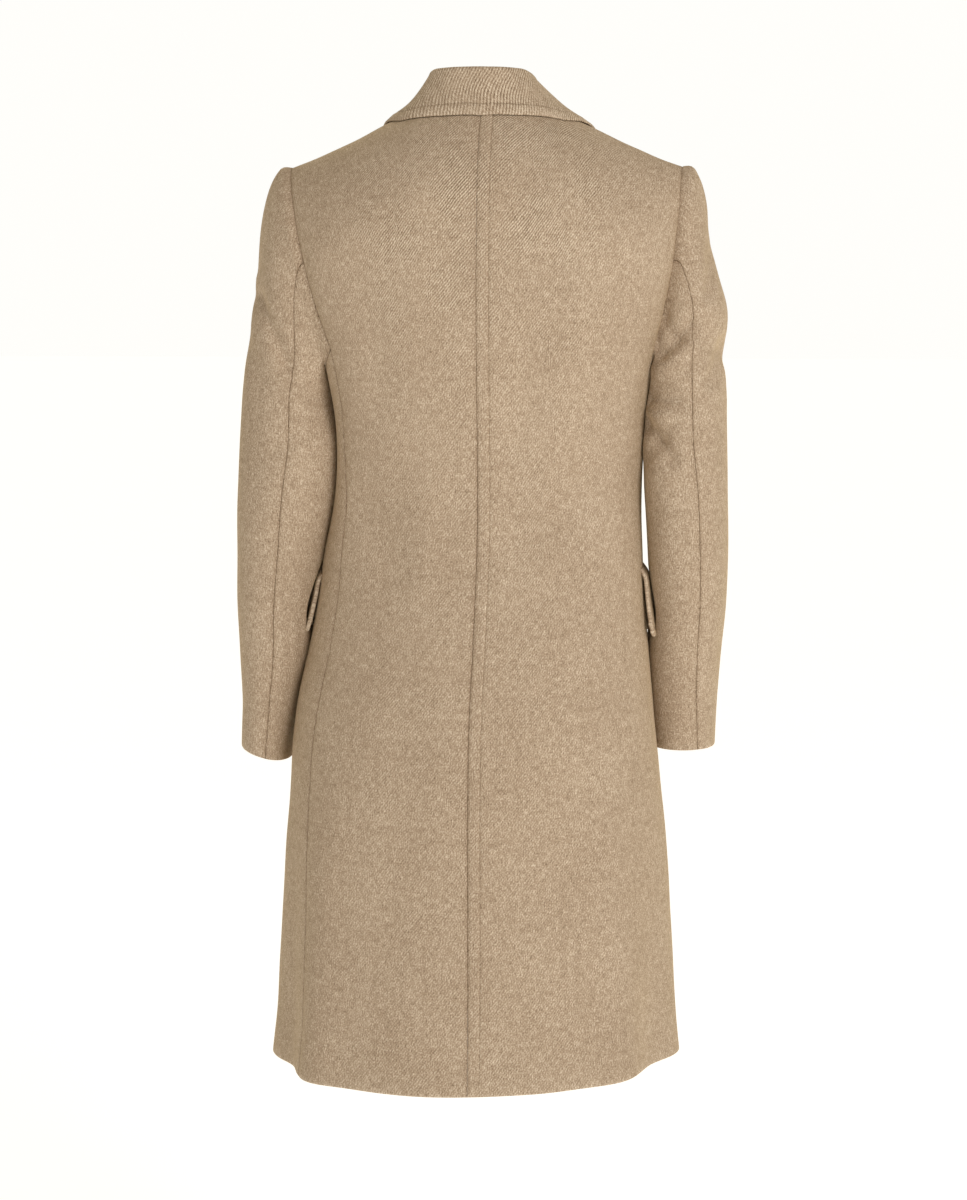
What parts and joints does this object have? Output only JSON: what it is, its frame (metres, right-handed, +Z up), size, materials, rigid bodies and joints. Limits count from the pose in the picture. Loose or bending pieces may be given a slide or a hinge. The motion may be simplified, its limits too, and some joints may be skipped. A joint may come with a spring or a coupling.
{
  "type": "tailored coat",
  "caption": "Knee-length tailored wool coat with turned-down collar, notched lapels, set-in sleeves and pocket flaps, hollow and in the shape it keeps when worn.",
  "frame": {"origin": "midway between the two points where a shoulder seam meets the collar, at their level: the wearer's shoulders hold the coat there", "axes": "+Z up, the back of the coat faces +Y, the front faces -Y, the wearer's left is +X"},
  "size_m": [0.5211, 0.3495, 1.0428],
  "materials": {
    "wool_coating": "brushed heathered wool twill",
    "button_horn": "polished dark horn"
  },
  "bodies": {
    "root": {"back_left": "wool_coating", "back_right": "wool_coating", "side_left": "wool_coating", "side_right": "wool_coating", "front_left": "wool_coating", "front_right": "wool_coating", "sleeve_left_upper": "wool_coating", "sleeve_left_under": "wool_coating", "sleeve_right_upper": "wool_coating", "sleeve_right_under": "wool_coating", "collar": "wool_coating", "lapel_left": "wool_coating", "lapel_right": "wool_coating", "pocket_flap_left": "wool_coating", "pocket_flap_right": "wool_coating", "button_top": "button_horn", "button_middle": "button_horn", "button_low": "button_horn"}
  },
  "joints": []
}
